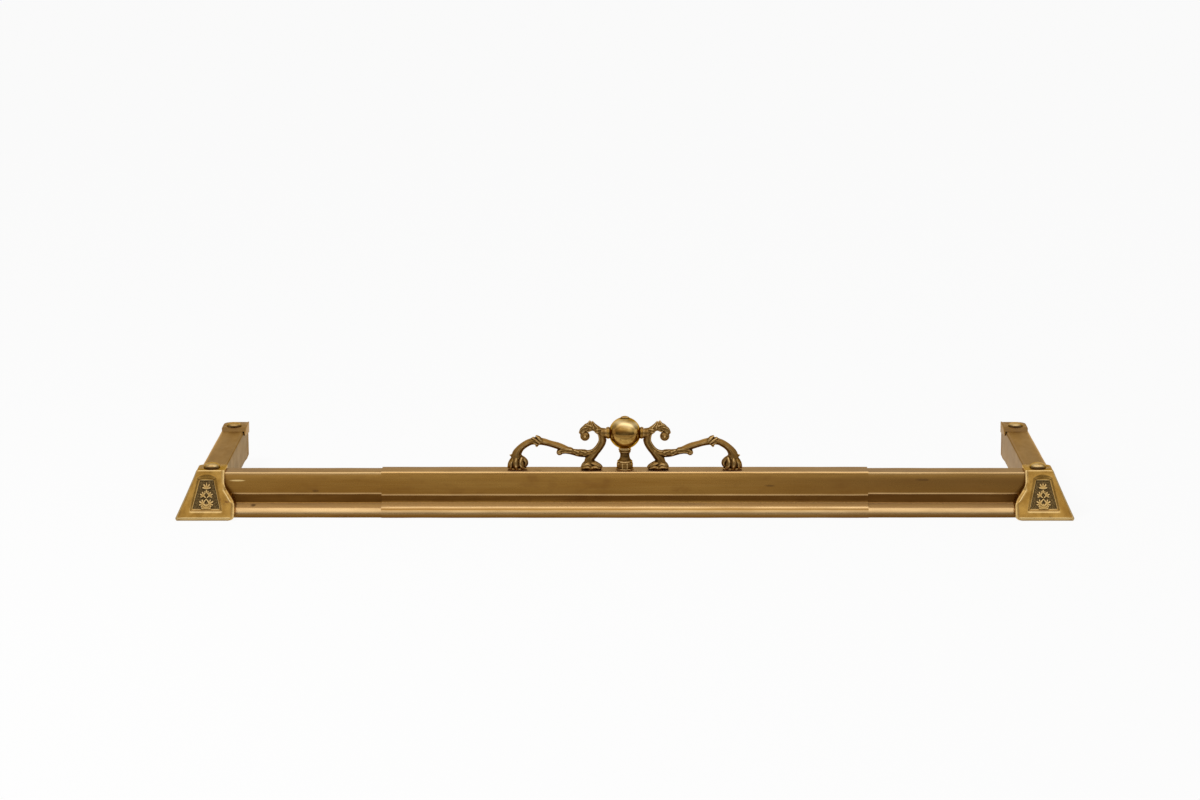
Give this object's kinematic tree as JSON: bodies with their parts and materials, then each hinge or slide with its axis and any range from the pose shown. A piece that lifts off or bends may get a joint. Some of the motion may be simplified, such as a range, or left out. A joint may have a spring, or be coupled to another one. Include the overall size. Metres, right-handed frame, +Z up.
{
  "type": "fire fender",
  "caption": "Extending brass fire fender: a centre sleeve with a scrolled ball crest slides over end rails with cast corners and side arms.",
  "frame": {"origin": "on the hearth, in the middle of the width and of the depth", "axes": "+X along the front towards the right end, +Y back towards the chimney breast, +Z up"},
  "size_m": [1.251, 0.372, 0.1396],
  "materials": {
    "sheet_brass": "worn satin, tarnished",
    "cast_brass": "worn polish",
    "dark_cast_brass": "dark patina in the recesses",
    "ball_brass": "polished, spotted",
    "knob_brass": "polished, tarnished at the rim",
    "steel_fixings": "dull"
  },
  "bodies": {
    "centre": {"centre_sleeve": "sheet_brass", "finial_stem": "dark_cast_brass", "finial_ball": "ball_brass", "finial_bolt": "knob_brass", "finial_washer": "steel_fixings", "finial_nut": "steel_fixings", "left_collar": "dark_cast_brass", "right_collar": "dark_cast_brass", "left_scroll": "dark_cast_brass", "right_scroll": "dark_cast_brass", "crest_screws": "steel_fixings"},
    "left_end": {"left_rail": "sheet_brass", "left_arm": "sheet_brass", "left_corner": "cast_brass", "left_corner_bracket": "steel_fixings", "left_corner_knob": "knob_brass", "left_corner_stud": "steel_fixings", "left_corner_washer": "steel_fixings", "left_corner_nut": "steel_fixings", "left_end_cap": "cast_brass", "left_end_knob": "knob_brass", "left_end_stud": "steel_fixings", "left_end_washer": "steel_fixings", "left_end_nut": "steel_fixings"},
    "right_end": {"right_rail": "sheet_brass", "right_arm": "sheet_brass", "right_corner": "cast_brass", "right_corner_bracket": "steel_fixings", "right_corner_knob": "knob_brass", "right_corner_stud": "steel_fixings", "right_corner_washer": "steel_fixings", "right_corner_nut": "steel_fixings", "right_end_cap": "cast_brass", "right_end_knob": "knob_brass", "right_end_stud": "steel_fixings", "right_end_washer": "steel_fixings", "right_end_nut": "steel_fixings"}
  },
  "joints": [
    {"name": "left_slide", "type": "slide", "parent": "centre", "child": "left_end", "axis": [-1, 0, 0], "range_m": [-0.2, 0.065]},
    {"name": "right_slide", "type": "slide", "parent": "centre", "child": "right_end", "axis": [1, 0, 0], "range_m": [-0.2, 0.065]}
  ]
}
